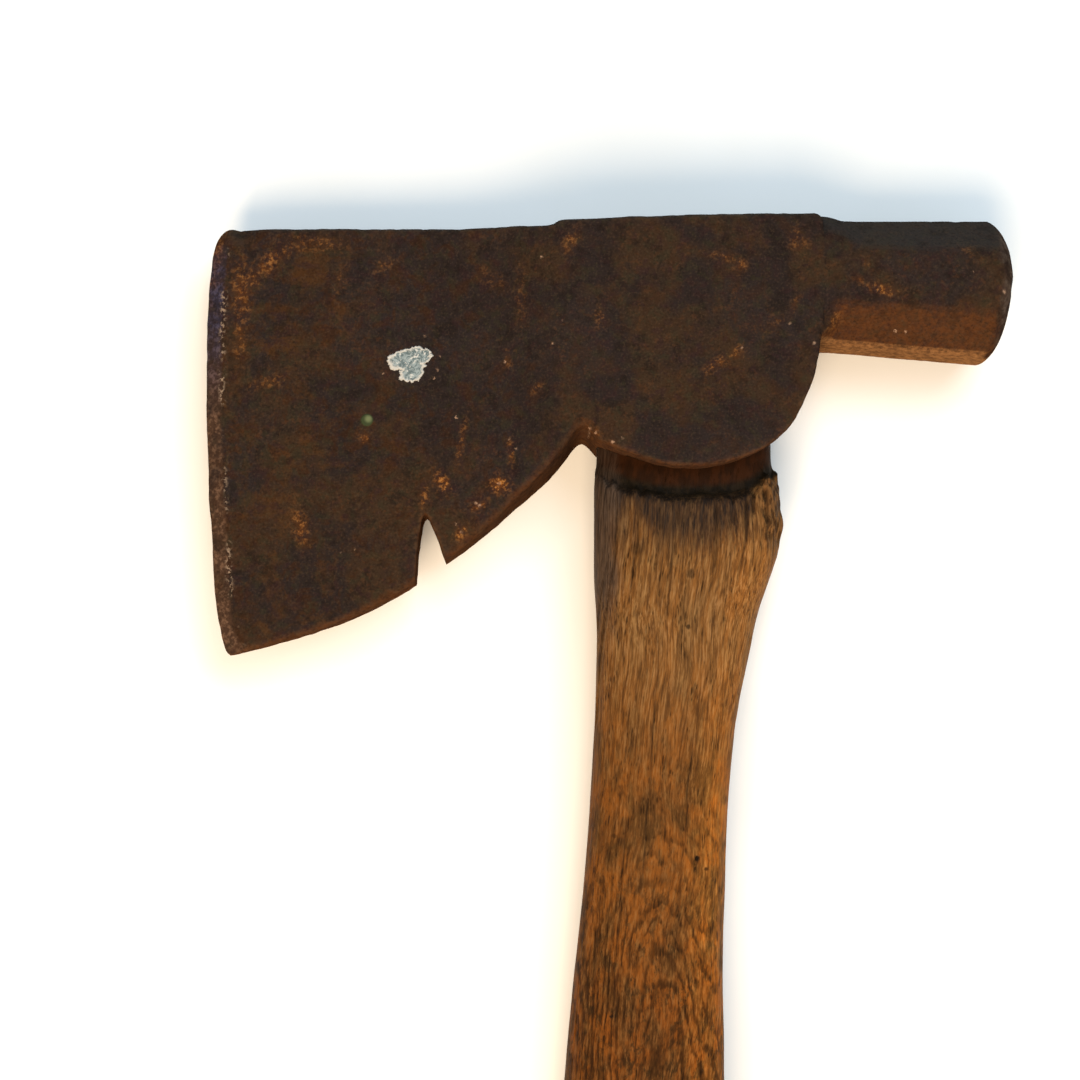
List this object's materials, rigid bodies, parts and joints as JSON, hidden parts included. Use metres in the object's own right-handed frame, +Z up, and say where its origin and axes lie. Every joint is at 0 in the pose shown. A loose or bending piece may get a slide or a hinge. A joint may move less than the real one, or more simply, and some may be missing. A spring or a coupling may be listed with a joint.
{
  "type": "half hatchet",
  "caption": "Hatchet with a thin flaring blade, a nail notch in its lower edge, an octagonal hammer head behind and a curved wooden handle wedged into the eye.",
  "frame": {"origin": "the point of the lower cheek's flat straight below the middle of the eye, as the hatchet lies on its side", "axes": "+X from the cutting edge towards the hammer face, +Y from the handle towards the top of the head, +Z up through the thickness of the head"},
  "size_m": [0.1646, 0.3326, 0.028],
  "materials": {
    "rusty_forged_steel": "matte",
    "aged_handle_wood": "matte",
    "wedge_wood": "matte",
    "wedge_steel": "matte"
  },
  "bodies": {
    "root": {"head": "rusty_forged_steel", "handle": "aged_handle_wood", "wooden_wedge": "wedge_wood", "front_steel_wedge": "wedge_steel", "rear_steel_wedge": "wedge_steel"}
  },
  "joints": []
}
